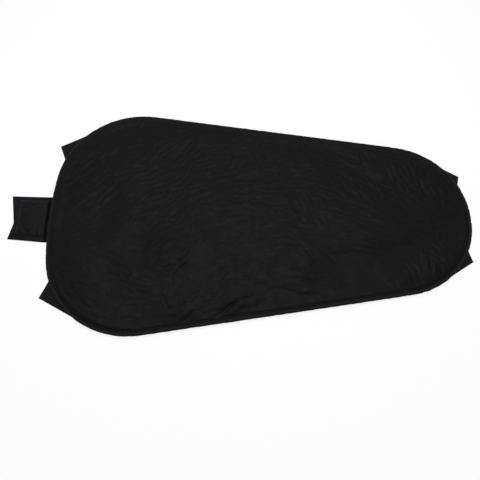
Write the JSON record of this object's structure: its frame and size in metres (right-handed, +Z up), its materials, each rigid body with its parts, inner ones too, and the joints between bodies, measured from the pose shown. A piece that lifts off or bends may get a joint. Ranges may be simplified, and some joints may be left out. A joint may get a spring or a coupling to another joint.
{
  "type": "kayak spray skirt",
  "caption": "Closed kayak cockpit spray cover: tapered black nylon deck with an elastic corded rim, corner pull tabs and a padded grab tab at the wide end.",
  "frame": {"origin": "middle of the whole cover's length and width, at the plane that it lies on", "axes": "+X along the cover to its narrow (bow) end, +Y to port, +Z up out of the deck's outer face"},
  "size_m": [0.981, 0.513, 0.0095],
  "materials": {
    "nylon_face": "matte",
    "neoprene": "matte",
    "nylon_lining": "matte",
    "binding_tape": "matte",
    "shock_cord": "matte",
    "ferrule": "satin",
    "thread": "matte",
    "webbing": "matte",
    "patch_cloth": "matte",
    "grab_cloth": "matte",
    "grab_foam": "matte"
  },
  "bodies": {
    "cover": {"deck_shell": "nylon_face", "deck_core": "neoprene", "deck_lining": "nylon_lining", "rim_casing": "binding_tape", "rim_cord": "shock_cord", "cord_ferrule": "ferrule", "rim_top_thread": "thread", "rim_under_thread": "thread", "rear_port_tab_base": "webbing", "rear_starboard_tab_base": "webbing", "front_port_tab_base": "webbing", "front_starboard_tab_base": "webbing", "rear_port_patch": "patch_cloth", "rear_starboard_patch": "patch_cloth", "front_port_patch": "patch_cloth", "front_starboard_patch": "patch_cloth", "corner_box_stitching": "thread", "grab_tab_base": "webbing", "grab_tab_patch": "patch_cloth", "grab_tab_box_stitching": "thread"},
    "rear_port_tab": {"rear_port_tab": "webbing"},
    "rear_starboard_tab": {"rear_starboard_tab": "webbing"},
    "front_port_tab": {"front_port_tab": "webbing"},
    "front_starboard_tab": {"front_starboard_tab": "webbing"},
    "grab_tab": {"grab_tab_upper_ply": "grab_cloth", "grab_tab_lower_ply": "grab_cloth", "grab_tab_foam": "grab_foam", "grab_tab_edge_thread": "thread"}
  },
  "joints": [
    {"name": "rear_port_tab_fold", "type": "hinge", "parent": "cover", "child": "rear_port_tab", "pos_m": [-0.36859, 0.18146, 0.0008], "axis": [0.5736, 0.8192, 0], "range_deg": [-90, 100]},
    {"name": "rear_starboard_tab_fold", "type": "hinge", "parent": "cover", "child": "rear_starboard_tab", "pos_m": [-0.36859, -0.18146, 0.0008], "axis": [-0.5736, 0.8192, 0], "range_deg": [-90, 100]},
    {"name": "front_port_tab_fold", "type": "hinge", "parent": "cover", "child": "front_port_tab", "pos_m": [0.45489, 0.11337, 0.0008], "axis": [0.6293, -0.7771, 0], "range_deg": [-90, 100]},
    {"name": "front_starboard_tab_fold", "type": "hinge", "parent": "cover", "child": "front_starboard_tab", "pos_m": [0.45489, -0.11337, 0.0008], "axis": [-0.6293, -0.7771, 0], "range_deg": [-90, 100]},
    {"name": "grab_tab_fold", "type": "hinge", "parent": "cover", "child": "grab_tab", "pos_m": [-0.4065, -0.003, 0.0008], "axis": [0, 1, 0], "range_deg": [-90, 100]}
  ]
}
